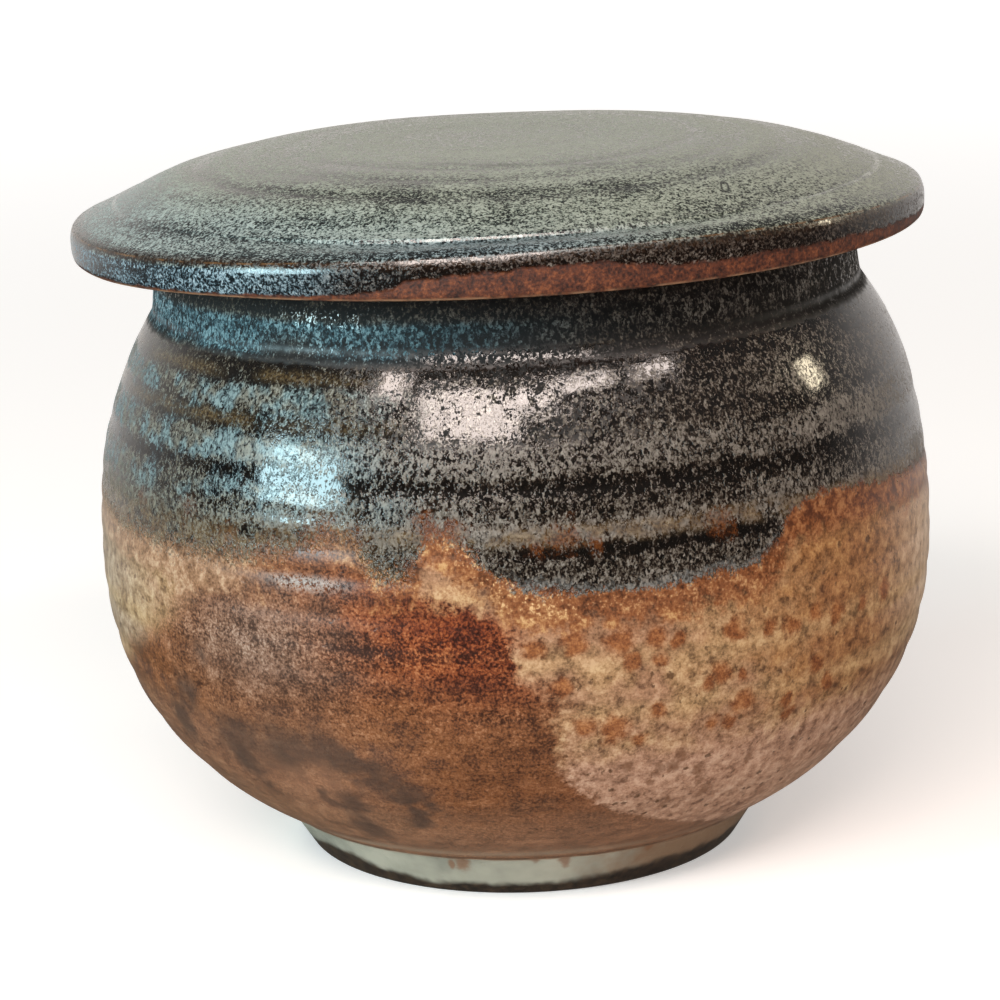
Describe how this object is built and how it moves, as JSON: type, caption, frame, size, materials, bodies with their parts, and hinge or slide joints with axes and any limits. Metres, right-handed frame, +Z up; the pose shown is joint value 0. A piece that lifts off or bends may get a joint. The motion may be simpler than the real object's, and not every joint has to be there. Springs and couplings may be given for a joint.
{
  "type": "lidded jam jar",
  "caption": "Round wheel-thrown stoneware jar on a turned foot ring, with a loose, gently domed lid whose flange sits in the mouth; keeps jam or other preserves at table.",
  "frame": {"origin": "centre of the foot ring on the table, on the jar's axis", "axes": "+Z up along the jar's axis, +X towards the high side of the leaning rim, which is at the right in the picture"},
  "size_m": [0.1066, 0.106, 0.0896],
  "materials": {
    "jar_glaze": "gloss slate-blue iron glaze over a satin rust and straw glaze, pale glaze on the foot",
    "lid_glaze": "gloss speckled grey-green iron glaze, wiped to brown clay at the edge"
  },
  "bodies": {
    "jar": {"jar_body": "jar_glaze"},
    "lid": {"lid": "lid_glaze"}
  },
  "joints": [
    {"name": "lid_lift", "type": "slide", "parent": "jar", "child": "lid", "axis": [-0.0244, 0, 0.9997], "range_m": [0, 0.09]}
  ]
}
